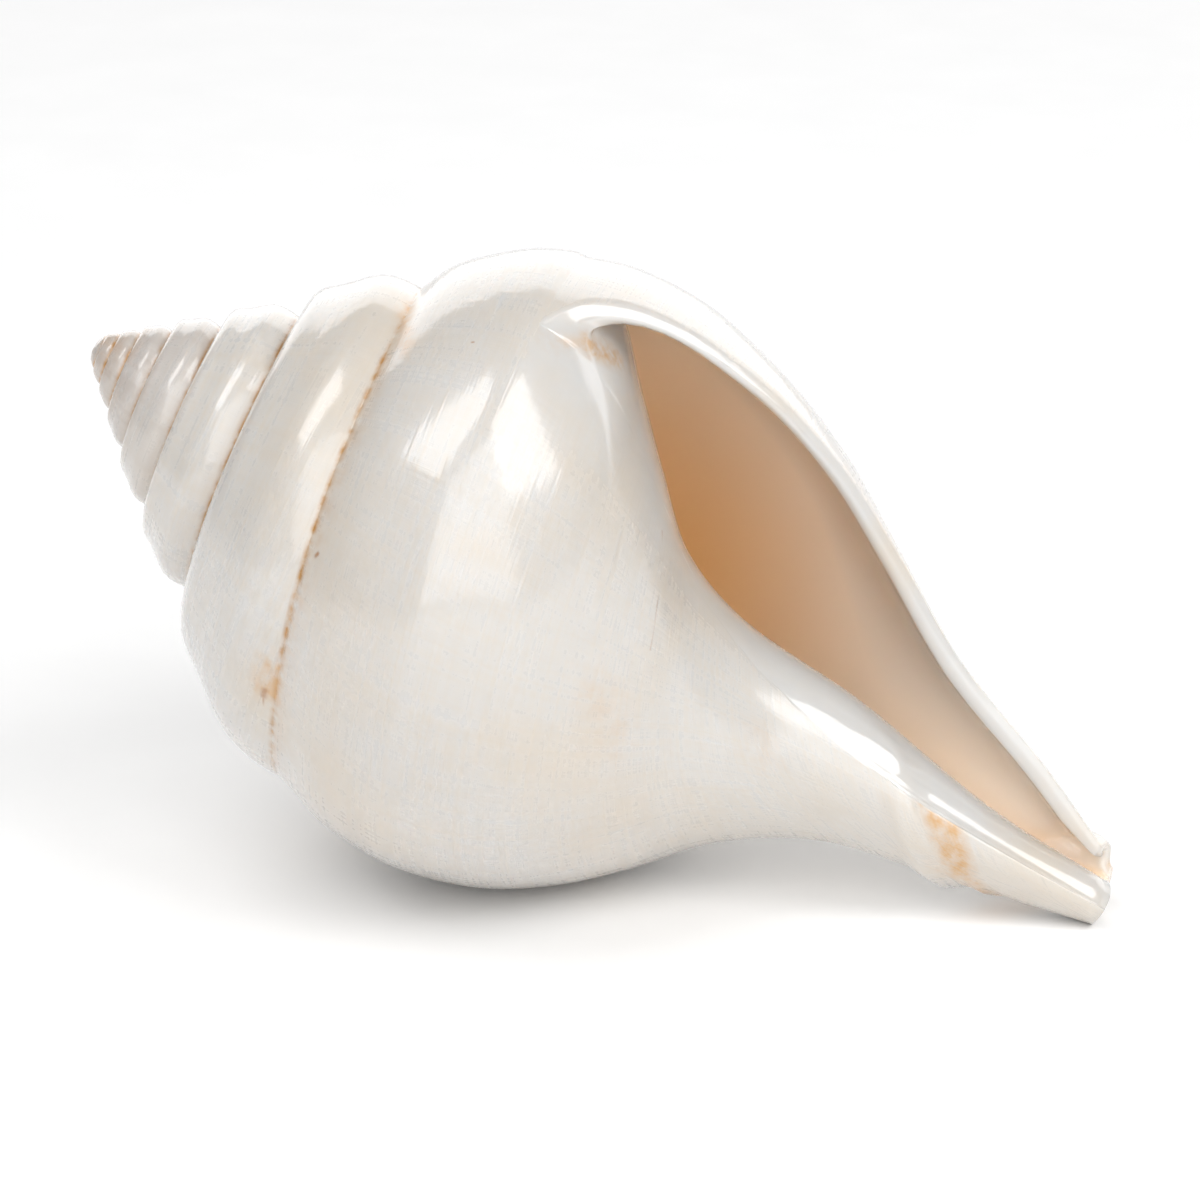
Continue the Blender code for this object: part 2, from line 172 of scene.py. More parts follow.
# Patterns: how many to the metre, their detail and roughness
CLOUDS = (45.0, 3.0, 0.55)
SPECKS = (420.0, 4.0, 0.5)
THREADS = (1.0, 2.0, 0.6)
LINES = (1.0, 3.0, 0.65)
GRAIN_PER_METRE = 400.0

# How little the threads and the growth lines change along themselves
THREAD_RUN = 0.035
LINE_RUN = 0.03

# How patterns and masks become colour and gloss: from, to, start, end
CLOUD_RANGE = (0.45, 0.75, 0.0, 0.6)
STREAK_RANGE = (0.75, 1.35, 0.0, 0.5)
KEPT_RANGE = (0.3, 0.62)
# Speckle of the painted shade past the fold
FOLD_SHADE_RANGE = (0.3, 0.65, 0.15, 0.9)
CREAM_RANGE = (0.0, 0.35)
TAN_RANGE = (0.3, 1.0)
GLOSS_RANGE = (0.0, 1.4, 0.16, 0.34)

# Surfaces
BUMP_STRENGTH = 0.42
BUMP_DEPTH = 0.0001
SHELL_SURFACE = {
    "IOR": 1.53, "Subsurface Weight": 0.6, "Subsurface Radius": (1.0, 0.75, 0.55),
    "Subsurface Scale": 0.006, "Coat Weight": 1.0, "Coat Roughness": 0.05}
BOARD_SURFACE = {"Roughness": 0.9, "Specular IOR Level": 0.1}

# Marks as they lie, in millimetres: from, to, reach, strength
STAINS = (
    ((-43.2, -38.0, 41.3), (-41.5, -38.5, 46.0), 4.0, 0.7),
    ((-24.9, -21.1, 91.7), (-29.5, -5.0, 93.4), 2.4, 0.7),
    ((-3.6, -19.4, 94.3), (1.6, -13.8, 92.2), 2.4, 0.4),
    ((1.6, -13.8, 92.2), (4.5, -8.5, 88.7), 3.6, 0.8),
    ((8.4, -35.8, 43.8), (12.6, -33.0, 36.0), 7.0, 0.2),
    ((28.5, -14.7, 30.9), (30.0, -15.5, 28.0), 5.0, 0.2),
    ((56.1, -8.9, 14.6), (58.2, -7.0, 8.4), 2.6, 0.6),
    ((50.5, -9.6, 15.5), (54.5, -6.7, 7.9), 1.4, 0.6),
)
SCARS = (
    ((-33.7, -40.7, 65.3), (-33.9, -40.5, 64.9), 0.6, 0.9),
    ((-43.2, -38.0, 41.3), (-43.6, -37.6, 40.2), 1.0, 0.8),
    ((-43.6, -37.6, 40.2), (-45.2, -26.9, 24.4), 0.35, 0.6),
    ((-14.3, -22.8, 94.3), (-14.1, -22.8, 94.3), 0.35, 0.8),
    ((13.0, -14.6, 63.6), (14.1, -22.4, 54.6), 0.3, 0.5),
    ((14.1, -22.4, 54.6), (13.9, -25.9, 48.7), 0.3, 0.4),
)

# Camera as the photograph stands to the shell: turn, height, and the point in the frame's middle
VIEW_TURN, VIEW_HEIGHT = 13.7, 21.0
VIEW_AXIS_Z, VIEW_AXIS_X = 88.0, 3.1
FRAME_WIDTH = 186.0
LENS = 200.0
SENSOR = 36.0
FAR_CLIP = 20.0

# Stage, in metres. Each lamp: its name, size, place, the point that it faces, and its radiance
FLOOR_REACH = 4.0
FLOOR_FACES = 4
SKY = 0.31
LAMPS = (
    ("right_softbox", (0.6, 0.75), (0.75, -0.3, 0.9), (0, 0, 0.05), 3.8),
    ("left_softbox", (0.4, 0.7), (-0.4, -0.3, 1.0), (0, 0, 0.05), 3.8),
    ("back_softbox", (5.0, 1.8), (0, 1.9, 0.7), (0, 0, 0.3), 1.45),
    ("front_softbox", (2.2, 1.8), (0.45, -1.5, 0.9), (0, 0, 0.05), 1.75),
)


def linear(code):
    """A colour of the screen, as a hex code, turned to the renderer's linear values."""
    values = [int(code[i:i + 2], 16) / 255 for i in (1, 3, 5)]
    return tuple(v / 12.92 if v <= 0.04045 else ((v + 0.055) / 1.055) ** 2.4 for v in values)


def smooth(x):
    x = np.clip(x, 0, 1)
    return x * x * (3 - 2 * x)


def curve(x, xs, ys):
    """Smooth line through the points (xs, ys), read at x and level beyond its ends."""
    xs = np.asarray(xs, float)
    ys = np.asarray(ys, float)
    x = np.clip(np.atleast_1d(np.asarray(x, float)), xs[0], xs[-1])
    column = (-1,) + (1,) * (ys.ndim - 1)
    step = np.diff(xs)
    slope = np.diff(ys, axis=0) / step.reshape(column)
    share = (step[:-1] / (step[:-1] + step[1:])).reshape(column)
    middle = slope[:-1] * (1 - share) + slope[1:] * share
    tangent = np.concatenate([slope[:1], middle, slope[-1:]])
    k = np.clip(np.searchsorted(xs, x, side="right") - 1, 0, len(xs) - 2)
    width = step[k].reshape(column)
    t = ((x - xs[k]) / step[k]).reshape(column)
    return blend(t, ys[k], ys[k + 1], width * tangent[k], width * tangent[k + 1])


def blend(t, start, end, leave, arrive):
    """Cubic from start to end with these slopes at its ends."""
    rise = t * t * (3 - 2 * t)
    return start * (1 - rise) + end * rise + leave * (t**3 - 2 * t**2 + t) + arrive * (t**3 - t**2)


def suture(angle):
    """Points (z, radius) of the suture line. Its first turn curls over to the apex."""
    late = curve(np.maximum(angle, EARLY_ANGLE), SUTURE[:, 0], SUTURE[:, 1:])
    cone = np.clip(angle, NUCLEUS_ANGLE, EARLY_ANGLE)
    grown = GROWTH ** ((cone - EARLY_ANGLE) / 360)[:, None]
    early = grown * (SUTURE[0, 1:] - (CONE_TOP, 0)) + (CONE_TOP, 0)
    curl = np.clip((NUCLEUS_ANGLE - angle) / 360, 0, 1) * np.pi / 2
    early[:, 1] *= np.cos(curl)
    early[:, 0] -= NUCLEUS_RISE * np.sin(curl)
    return np.where((angle < EARLY_ANGLE)[:, None], early, late)


def section(angle):
    """The knots (z, radius) of the outer profile at each angle."""
    upper = suture(angle)
    lower = suture(angle + 360)
    chord = lower - upper
    length = np.maximum(np.linalg.norm(chord, axis=1)[:, None], NO_LENGTH)
    along = chord / length
    outward = np.stack([-along[:, 1], along[:, 0]], axis=1)
    height = curve(angle, FULL_ANGLE, FULLNESS)
    knots = np.empty((len(angle), LAST_KNOT + 1, 2))
    knots[:, 0] = upper
    for i, share in enumerate(FULL_AT):
        knots[:, 1 + i] = upper + chord * share + outward * length * height[:, i:i + 1]
    knots[:, NEXT_SUTURE] = lower
    ages = np.array([BODY_START, BODY_UNDER, BODY_TOP, BODY_LIP])
    body = curve(np.maximum(angle, BODY_ANGLE[0]), BODY_ANGLE, ages)
    body[:, -1, 0] = curve(angle, TIP_ANGLE, TIP_Z)
    earlier = GROWTH ** ((np.minimum(angle, BODY_ANGLE[0]) - BODY_ANGLE[0]) / 360)[:, None, None]
    body = (body - (CONE_TOP, 0)) * earlier + (CONE_TOP, 0)
    hidden = lower + length * (HIDDEN_ALONG * along + HIDDEN_DROP * outward)
    mix = smooth((angle - BLEND_FROM) / BLEND_TURN)[:, None]
    knots[:, NEXT_SUTURE + 1] = hidden * (1 - mix) + body[:, 0] * mix
    knots[:, NEXT_SUTURE + 2:] = body[:, 1:]
    return knots


def past_fold(angle, z):
    """How far towards the tip this place is from the crest of the fasciole fold."""
    return z - FOLD_Z - FOLD_PITCH * (angle - FOLD_ANGLE)


def folds(angle, z):
    """Height of the fasciole fold and of the wrinkles beyond it."""
    size = bpy.context.scene.conch_form
    past = past_fold(angle, z)
    crest = size.fold_height / MM * np.exp(-(past / FOLD_WIDTH) ** 2)
    window = smooth(past / WRINKLE_PITCH) * (1 - smooth(past / WRINKLE_REACH))
    wrinkle = size.wrinkle_height / MM * window * np.cos(2 * np.pi * past / WRINKLE_PITCH)
    return (crest + wrinkle) * smooth((angle - FOLD_ANGLE + FOLD_FADE) / (2 * FOLD_FADE))


def profile(angle, knot):
    """Points (z, radius) on the outer surface, at this place between the knots."""
    knots = section(angle)
    step = np.maximum(np.sqrt(np.linalg.norm(np.diff(knots, axis=1), axis=2)), NO_STEP)[..., None]
    slope = np.diff(knots, axis=1) / step
    share = step[:, :-1] / (step[:, :-1] + step[:, 1:])
    middle = slope[:, :-1] * (1 - share) + slope[:, 1:] * share
    tangent = np.concatenate([slope[:, :1], middle, slope[:, -1:]], axis=1)
    i = np.clip(np.floor(knot).astype(int), 0, LAST_KNOT - 1)
    row = np.arange(len(angle))
    t = (knot - i)[:, None]
    width = step[row, i]
    points = blend(t, knots[row, i], knots[row, i + 1],
                   width * tangent[row, i], width * tangent[row, i + 1])
    points[:, 1] += folds(angle, points[:, 0])
    return points


def inward(angle, knot):
    """The direction in the (z, radius) plane that points into the wall."""
    low = np.minimum(knot, LAST_KNOT - KNOT_STEP)
    along = profile(angle, low + KNOT_STEP) - profile(angle, low)
    along /= np.linalg.norm(along, axis=1)[:, None]
    return np.column_stack([along[:, 1], -along[:, 0]])


def radius_at(angle, z):
    """Outer radius at this z, below the next suture."""
    knots = np.linspace(*BODY_SEARCH)
    lines = profile(np.repeat(angle, len(knots)), np.tile(knots, len(angle)))
    lines = lines.reshape(len(angle), len(knots), 2)
    return np.array([np.interp(at, line[:, 0], line[:, 1]) for at, line in zip(z, lines)])


def place(angle, points):
    """Points (z, radius) at their angles as points in space about the shell's axis."""
    turn = np.radians(angle)
    z, radius = points[:, 0], points[:, 1]
    lean = SPIRE_LEAN * np.exp(-((z - LEAN_AT) / LEAN_SPREAD) ** 2)
    return np.column_stack([radius * np.cos(turn) - lean, radius * np.sin(turn), z])


def spire_knots(columns):
    return NEXT_SUTURE * (1 - np.cos(np.linspace(0, np.pi, columns + 1))) / 2


def body_knots(columns):
    return np.linspace(NEXT_SUTURE, LAST_KNOT, columns + 1)


def outside(knots, turns):
    """Grid of the outer surface, from this many turns before the last whorl to the lip, and its
    angles."""
    steps = np.arange(-turns * ROWS, ROWS + 1)
    grown = np.maximum(steps, 0)[:, None] / ROWS
    back = curve(knots, LIP_KNOT, LIP_BACK) * smooth(grown * LIP_EASE + 1 - LIP_EASE)
    ahead = curve(knots, EDGE_KNOT, EDGE_ON) * (1 - smooth(grown * EDGE_EASE))
    angles = LIP_ANGLE - 360 + 360 * steps[:, None] / ROWS - back + ahead
    points = profile(angles.ravel(), np.tile(knots, len(steps)))
    return place(angles.ravel(), points).reshape(angles.shape + (3,)), angles


def lift(row, angle, gaps):
    """Keeps the wall's first columns clear of the earlier whorl that they start from."""
    knots = np.linspace(*FLOOR_SEARCH)
    for column in np.flatnonzero(gaps > 0):
        gap = gaps[column]
        point = row[column]
        own = np.degrees(np.arctan2(point[1], point[0]))
        own += 360 * np.round((angle - own) / 360)
        floor = profile(np.full(len(knots), own - 360), knots)
        at = np.array([point[2], np.hypot(point[0], point[1])])
        near = np.argmin(np.hypot(*(floor - at).T))
        near = int(np.clip(near, 1, len(knots) - 2))
        along = floor[near + 1] - floor[near - 1]
        up = np.array([-along[1], along[0]]) / np.linalg.norm(along)
        short = gap - (at - floor[near]) @ up
        if short > 0:
            z, radius = at + up * short
            turn = np.radians(own)
            row[column] = (radius * np.cos(turn), radius * np.sin(turn), z)


def sweeps():
    """Turn from the lip to each row of the cavity: of the lip's rim, and of its two ends."""
    half = CAST_ROWS // 2
    canal = np.linspace(BEHIND_RIM_SWEEP, CANAL_SWEEP, half - len(RIM_SWEEP) + 1)
    whorl = np.linspace(CANAL_SWEEP, WHORL_SWEEP, WHORL_ROWS + 1)[1:]
    deep = np.linspace(WHORL_SWEEP, CAVITY_SWEEP, DEEP_ROWS + 1)[1:]
    full = np.concatenate([RIM_SWEEP, canal, whorl, deep])
    ends = full.copy()
    ends[:len(RIM_END_SWEEP)] = RIM_END_SWEEP
    return full, ends


def cavity(rows):
    """Grids of the inner wall, and of the parietal and columellar wall that faces it."""
    knots = np.concatenate([spire_knots(SPIRE_COLUMNS), body_knots(BODY_COLUMNS)[1:]])
    count = np.concatenate([CAST_SPIRE * np.linspace(0, 1, SPIRE_COLUMNS + 1),
                            CAST_SPIRE + CAST_BODY * np.linspace(0, 1, BODY_COLUMNS + 1)[1:]])
    half = CAST_ROWS // 2
    cast_full, cast_ends = sweeps()
    full = curve(rows, np.arange(len(cast_full)), cast_full)
    ends = curve(rows, np.arange(len(cast_ends)), cast_ends)
    thick = curve(rows, RIM_ROW, RIM_THICK)
    lip_back = curve(knots, LIP_KNOT, LIP_BACK)
    edge_on = curve(knots[SPIRE_COLUMNS:], EDGE_KNOT, EDGE_ON)
    start = profile(LIP_ANGLE - 360 + edge_on, knots[SPIRE_COLUMNS:])
    share = (start[:, 0] - start[0, 0]) / (start[-1, 0] - start[0, 0])
    near_end = np.clip((np.linspace(0, 1, BODY_COLUMNS + 1) - CLOSING_FROM) / (1 - CLOSING_FROM), 0, 1)
    gaps = np.interp(count, np.arange(CORNER_COLUMNS + 1), (0, *CORNER_GAPS, 0))
    walls, floors = [], []
    for i, row in enumerate(rows):
        open_share = min(row / half, 1.0)
        past = smooth((full[i] - CANAL_SWEEP) / (WHORL_SWEEP - CANAL_SWEEP))
        size = GROWTH ** (min(WHORL_SWEEP - full[i], 0) / 360)
        used = np.where(knots <= NEXT_SUTURE, knots,
                        NEXT_SUTURE + (knots - NEXT_SUTURE) * (1 - CAVITY_SHRINK * past))
        ease = 1 - smooth(open_share)
        rim = ends[i] + (full[i] - ends[i]) * np.clip(count / CORNER_COLUMNS, 0, 1)
        angles = LIP_ANGLE - rim - lip_back * ease
        thin = 1 - (1 - INNER_THIN) * smooth((full[i] - THIN_FROM) / THIN_OVER)
        depth = np.interp(used, WALL_KNOT, WALL) * thick[i] * thin * size
        inner = profile(angles, used) + inward(angles, used) * depth[:, None]
        wall = place(angles, inner)
        own = np.array([LIP_ANGLE - ends[i] - 360])
        corner = place(own, profile(own, np.array([NEXT_SUTURE + CORNER_KNOT * thick[i]])))[0]
        pull = 1 - min(row, 1) * (1 - np.clip(count / CORNER_COLUMNS, 0, 1) ** CORNER_EASE)
        wall = corner + (wall - corner) * pull[:, None]
        lift(wall, LIP_ANGLE - ends[i], gaps * thick[i] * size)

        angles = LIP_ANGLE - ends[i] + edge_on * ease - 360
        bottom = curve(angles, TIP_ANGLE, TIP_Z) if row <= half else np.full(len(angles), inner[-1, 0])
        z = corner[2] + (bottom - corner[2]) * share
        radius = radius_at(angles, z)
        groove = curve(open_share, GROOVE_AT, GROOVE)[0]
        radius *= 1 + (groove - 1) * smooth((z - CANAL_FROM) / CANAL_OVER)
        floor = place(angles, np.column_stack([z, radius]))
        floor[0] = wall[0] = corner

        closing = smooth(open_share) ** 2 * (1 - np.sqrt(1 - near_end**2))
        middle = (wall[SPIRE_COLUMNS:] + floor) / 2
        wall[SPIRE_COLUMNS:] += (middle - wall[SPIRE_COLUMNS:]) * closing[:, None]
        floor += (middle - floor) * closing[:, None]
        walls.append(wall)
        floors.append(floor)
    return np.array(walls), np.array(floors)


def across(points):
    """Distance from each row's first point along the row."""
    steps = np.linalg.norm(np.diff(points, axis=1), axis=2)
    return np.concatenate([np.zeros((len(points), 1)), np.cumsum(steps, axis=1)], axis=1)


def round_about(angles):
    """Distance round the shell that each angle stands at, along the suture."""
    at = np.arange(LIP_ANGLE - 360 * (TURNS + 1), 2 * LIP_ANGLE, 5.0)
    radius = suture(at)[:, 1]
    length = np.concatenate([[0], np.cumsum((radius[1:] + radius[:-1]) / 2 * np.radians(5))])
    return np.interp(angles, at, length)


def add_sheet(form, points, growth, masks):
    """A grid laid along the surface, with its growth coordinates and its masks."""
    rows, columns = points.shape[:2]
    made = bmesh.ops.create_grid(form, x_segments=columns - 1, y_segments=rows - 1, size=1)
    uv = form.loops.layers.uv["growth"]
    layers = {name: form.verts.layers.float[name] for name in MASKS}
    for i, vert in enumerate(made["verts"]):
        row, column = divmod(i, columns)
        vert.co = points[row, column]
        for name, mask in masks.items():
            vert[layers[name]] = mask[row, column]
        for loop in vert.link_loops:
            loop[uv].uv = growth[row, column]


def shade_past_fold(angles, points):
    """Where the band of painted shade just beyond the fold lies."""
    past = past_fold(angles, points[..., 2])
    band = smooth((past - BAND_FROM) / BAND_EDGE) * (1 - smooth((past - BAND_TO) / BAND_EDGE))
    return band * smooth((angles - FOLD_ANGLE + FOLD_FADE) / (2 * FOLD_FADE))


def grow_shell():
    """The whole surface in millimetres about the shell's axis, as one closed bmesh."""
    form = bmesh.new()
    form.loops.layers.uv.new("growth")
    for name in MASKS:
        form.verts.layers.float.new(name)

    spire, spire_angles = outside(spire_knots(SPIRE_COLUMNS), TURNS)
    width = across(spire)
    free = (spire_angles < LIP_ANGLE - 360) * 1.0
    below = 1 - smooth((spire_angles - SEAM_UNTIL) / SEAM_OVER)
    above = free * (1 - smooth((spire_angles + 360 - SEAM_UNTIL) / SEAM_OVER))
    seam_and_shade = np.maximum(below * np.exp(-(width / SEAM_BELOW) ** 2),
                      above * np.exp(-((width[:, -1:] - width) / SEAM_ABOVE) ** 2))
    # The fainter, wider band below each suture is painted shade
    seam_and_shade = np.maximum(seam_and_shade, SEAM_SHADE * below * np.exp(-(width / SEAM_SHADE_REACH) ** 2))
    add_sheet(form, spire, np.stack([round_about(spire_angles), width], axis=2), {
        "seam_and_shade": seam_and_shade, "early": smooth((EARLY_FROM - spire_angles) / EARLY_OVER)})

    body, body_angles = outside(body_knots(BODY_COLUMNS), 0)
    beyond = across(body) + width[-len(body):, -1:]
    add_sheet(form, body, np.stack([round_about(body_angles), beyond], axis=2), {
        "glaze": 1 - smooth((body_angles - LIP_ANGLE + 360) / GLAZE_OVER),
        # The fasciole mask is painted shade just past the fold
        "fasciole": shade_past_fold(body_angles, body)})

    fine_rows = FINER * (CAST_ROWS // 2 + WHORL_ROWS)
    row_at = np.concatenate([np.arange(fine_rows) / FINER,
                             fine_rows // FINER + np.arange(DEEP_ROWS + 1)])
    wall, floor = cavity(row_at)
    wall[0] = np.concatenate([spire[-1], body[-1, 1:]])
    floor[0] = body[0]
    half = FINER * CAST_ROWS // 2
    wall[half:, -1] = floor[half:, -1] = (wall[half:, -1] + floor[half:, -1]) / 2
    cast_sweep = sweeps()[0]
    swept = np.interp(row_at, np.arange(len(cast_sweep)), cast_sweep)[:, None]
    for sheet, first, white in ((wall, LIP_ANGLE, INNER_FROM_LIP),
                                (floor, LIP_ANGLE - 360, INNER_FROM_START)):
        deep = np.broadcast_to(swept, sheet.shape[:2])
        pale = smooth((sheet[..., 2] - PALE_FROM) / PALE_OVER)
        add_sheet(form, sheet, np.stack([round_about(first - deep), across(sheet)], axis=2), {
            "inner": smooth((deep - white) / INNER_OVER) * (1 - PALE_CANAL * pale),
            "glaze": np.ones(sheet.shape[:2])})

    bmesh.ops.remove_doubles(form, verts=form.verts, dist=MERGE)
    slivers = [edge for edge in form.edges if edge.calc_length() < MERGE]
    bmesh.ops.dissolve_degenerate(form, edges=slivers, dist=MERGE)
    open_edges = [edge for edge in form.edges if len(edge.link_faces) == 1]
    tip = [edge for edge in open_edges if edge.verts[0].co.z > TIP_Z[-1] - TIP_REACH]
    bmesh.ops.triangle_fill(form, edges=tip, use_beauty=True)
    open_edges = [edge for edge in form.edges if len(edge.link_faces) == 1]
    bmesh.ops.holes_fill(form, edges=open_edges, sides=0)
    bmesh.ops.recalc_face_normals(form, faces=form.faces)
    for face in form.faces:
        face.smooth = True
    return form


def lay_down(form):
    """Turns and moves the shell to its resting pose, and flattens what touches the ground."""
    roll = Matrix.Rotation(-np.radians(REST_ROLL), 4, "Z")
    to_world = Matrix(((0, 0, 1, 0), (0, -1, 0, 0), (1, 0, 0, 0), (0, 0, 0, 1)))
    pitch = Matrix.Rotation(np.radians(REST_PITCH), 4, "Y")
    whole = Matrix.Scale(MM, 4) @ Matrix.Translation(REST_SHIFT) @ pitch @ to_world @ roll
    bmesh.ops.transform(form, matrix=whole, verts=form.verts)
    for vert in form.verts:
        vert.co.z = max(vert.co.z, 0)


def soak(form):
    """Marks the tan stains, measured on the shell as it lies."""
    layer = form.verts.layers.float.new("stain")
    places = np.array([vert.co for vert in form.verts]) / MM
    soaked = np.zeros(len(places))
    for start, end, reach, strength in STAINS:
        way = np.subtract(end, start)
        along = np.clip((places - start) @ way / (way @ way), 0, 1)
        gap = np.linalg.norm(places - start - along[:, None] * way, axis=1)
        soaked = np.maximum(soaked, strength * smooth(1 - gap / reach))
    for vert, value in zip(form.verts, soaked):
        vert[layer] = value


def laid(point):
    """A place about the shell's axis, in millimetres, as it lies in the scene, in metres."""
    form = bmesh.new()
    vert = form.verts.new(point)
    lay_down(form)
    found = vert.co.copy()
    form.free()
    return found


def node(tree, kind, inputs=None, **settings):
    """Adds a node with these settings, and joins or sets its sockets."""
    made = tree.nodes.new(kind)
    for name, value in settings.items():
        setattr(made, name, value)
    for socket, value in (inputs or {}).items():
        if isinstance(value, bpy.types.NodeSocket):
            tree.links.new(value, made.inputs[socket])
        else:
            made.inputs[socket].default_value = value
    return made


def joined(tree, operation, first, second):
    """Both values, joined by this operation."""
    return node(tree, "ShaderNodeMath", {0: first, 1: second}, operation=operation).outputs[0]


def ranged(tree, value, low, high, start=0.0, end=1.0):
    """The value, turned so that low to high becomes start to end."""
    return node(tree, "ShaderNodeMapRange", {"Value": value, "From Min": low, "From Max": high,
                "To Min": start, "To Max": end}).outputs[0]


def covered(tree, share, under, over):
    """The colour under, with this share of the colour over on top."""
    return node(tree, "ShaderNodeMix", {0: share, 6: under, 7: over}, data_type="RGBA").outputs[2]


def noise(tree, where, scale, detail, roughness):
    return node(tree, "ShaderNodeTexNoise", {"Vector": where, "Scale": scale,
                "Detail": detail, "Roughness": roughness}).outputs["Fac"]


def vectors_joined(tree, operation, first, second, output=0):
    """Both vectors, joined by this operation."""
    return node(tree, "ShaderNodeVectorMath", {0: first, 1: second},
                operation=operation).outputs[output]


def marked(tree, place_in, marks):
    """How much the nearest of these marks colours each place: full on its line, none at its reach."""
    strongest = 0.0
    for start, end, reach, strength in marks:
        start, way = Vector(start) * MM, (Vector(end) - Vector(start)) * MM
        from_start = vectors_joined(tree, "SUBTRACT", place_in, start)
        along = vectors_joined(tree, "DOT_PRODUCT", from_start, way / way.length_squared, "Value")
        along = node(tree, "ShaderNodeMath", {0: along, 1: 1.0},
                     operation="MULTIPLY", use_clamp=True).outputs[0]
        nearest = node(tree, "ShaderNodeVectorMath", {0: way, "Scale": along},
                       operation="SCALE").outputs[0]
        gap = vectors_joined(tree, "DISTANCE", from_start, nearest, "Value")
        one = node(tree, "ShaderNodeMapRange", {"Value": gap, "From Min": 0.0, "From Max": reach * MM,
                   "To Min": strength, "To Max": 0.0}, interpolation_type="SMOOTHSTEP").outputs[0]
        strongest = joined(tree, "MAXIMUM", strongest, one)
    return strongest


def colour(rgb):
    return (*rgb, 1.0)


def woven(tree):
    """Fine spiral threads round the whorls, and the growth lines that cross them."""
    size = bpy.context.scene.conch_form
    growth = node(tree, "ShaderNodeUVMap", uv_map="growth").outputs["UV"]
    thread, line = MM / size.thread_spacing, MM / size.line_spacing
    thread_way = node(tree, "ShaderNodeMapping", {
        "Vector": growth, "Scale": (thread * THREAD_RUN, thread, 1)}).outputs[0]
    line_way = node(tree, "ShaderNodeMapping", {
        "Vector": growth, "Scale": (line, line * LINE_RUN, 1)}).outputs[0]
    return noise(tree, thread_way, *THREADS), noise(tree, line_way, *LINES)


def outside_tint(tree, mask, lines, weave, bare):
    """White with clouds and streaks of cream, grey on the first whorls, and the brown over it,
    with painted shade beside the sutures and just past the fold.
    """
    looks = bpy.context.scene.conch_looks
    place_in = node(tree, "ShaderNodeTexCoord").outputs["Object"]
    cloud = ranged(tree, noise(tree, place_in, *CLOUDS), *CLOUD_RANGE)
    tint = covered(tree, cloud, colour(looks.white), colour(looks.cream))
    streak = joined(tree, "MULTIPLY", ranged(tree, weave, *STREAK_RANGE), bare)
    tint = covered(tree, streak, tint, colour(looks.cream))
    early = joined(tree, "MULTIPLY", mask["early"], lines)
    tint = covered(tree, early, tint, colour(looks.old))

    # Brown skin and dirt in the sutures, and painted shade beside them, broken up along them
    specks = noise(tree, place_in, *SPECKS)
    kept = ranged(tree, specks, *KEPT_RANGE)
    seam_and_shade = joined(tree, "MULTIPLY", mask["seam_and_shade"], kept)
    tint = covered(tree, seam_and_shade, tint, colour(looks.suture))

    # Tan stains, painted shade in a band just beyond the fold, and the brown spots and lines
    fold_shade = joined(tree, "MULTIPLY", mask["fasciole"], ranged(tree, specks, *FOLD_SHADE_RANGE))
    stain = joined(tree, "MULTIPLY", mask["stain"], kept)
    stain_and_fold_shade = joined(tree, "MULTIPLY", joined(tree, "MAXIMUM", stain, fold_shade), weave)
    tint = covered(tree, stain_and_fold_shade, tint, colour(looks.stain))
    return covered(tree, marked(tree, place_in, SCARS), tint, colour(looks.scar))


def aperture_tint(tree, inner, tint):
    """The aperture over the tint of the outside: from the white lip through cream to tan."""
    looks = bpy.context.scene.conch_looks
    tint = covered(tree, ranged(tree, inner, *CREAM_RANGE), tint, colour(looks.inner))
    return covered(tree, ranged(tree, inner, *TAN_RANGE), tint, colour(looks.deep))


def surfaced(name, settings):
    """A material with these settings of its surface: itself, its nodes and the surface."""
    material = bpy.data.materials.new(name)
    material.use_nodes = True
    surface = material.node_tree.nodes["Principled BSDF"]
    for socket, value in settings.items():
        surface.inputs[socket].default_value = value
    return material, material.node_tree, surface


def aragonite():
    """Polished aragonite shell: hard white lime laid down in crossed layers, glossy where it is
    rubbed smooth and glazed, with fine spiral threads, growth lines and brown skin left in the sutures,
    and with painted shade beside the sutures and just past the fold."""
    material, tree, surface = surfaced("polished_aragonite_shell", SHELL_SURFACE)
    surface.subsurface_method = "BURLEY"
    mask = {name: node(tree, "ShaderNodeAttribute", attribute_name=name).outputs["Fac"]
            for name in (*MASKS, "stain")}
    threads, lines = woven(tree)
    weave = joined(tree, "ADD", threads, lines)
    bare = joined(tree, "SUBTRACT", 1.0, mask["glaze"])
    tint = outside_tint(tree, mask, lines, weave, bare)
    height = joined(tree, "MULTIPLY", weave, bare)
    bump = node(tree, "ShaderNodeBump", {
        "Height": height, "Strength": BUMP_STRENGTH, "Distance": BUMP_DEPTH}).outputs[0]
    tree.links.new(aperture_tint(tree, mask["inner"], tint), surface.inputs["Base Color"])
    tree.links.new(ranged(tree, height, *GLOSS_RANGE), surface.inputs["Roughness"])
    tree.links.new(bump, surface.inputs["Normal"])
    tree.links.new(bump, surface.inputs["Coat Normal"])
    return material


def pale_ground():
    """Matt white background board, so that only the shell's soft shadow shows on it."""
    material, tree, surface = surfaced("matt_white_board", BOARD_SURFACE)
    grain = node(tree, "ShaderNodeTexNoise", {"Scale": GRAIN_PER_METRE}).outputs["Fac"]
    tone = covered(tree, grain, colour(linear("#FAFAFA")), colour(linear("#FFFFFF")))
    tree.links.new(tone, surface.inputs["Base Color"])
    return material


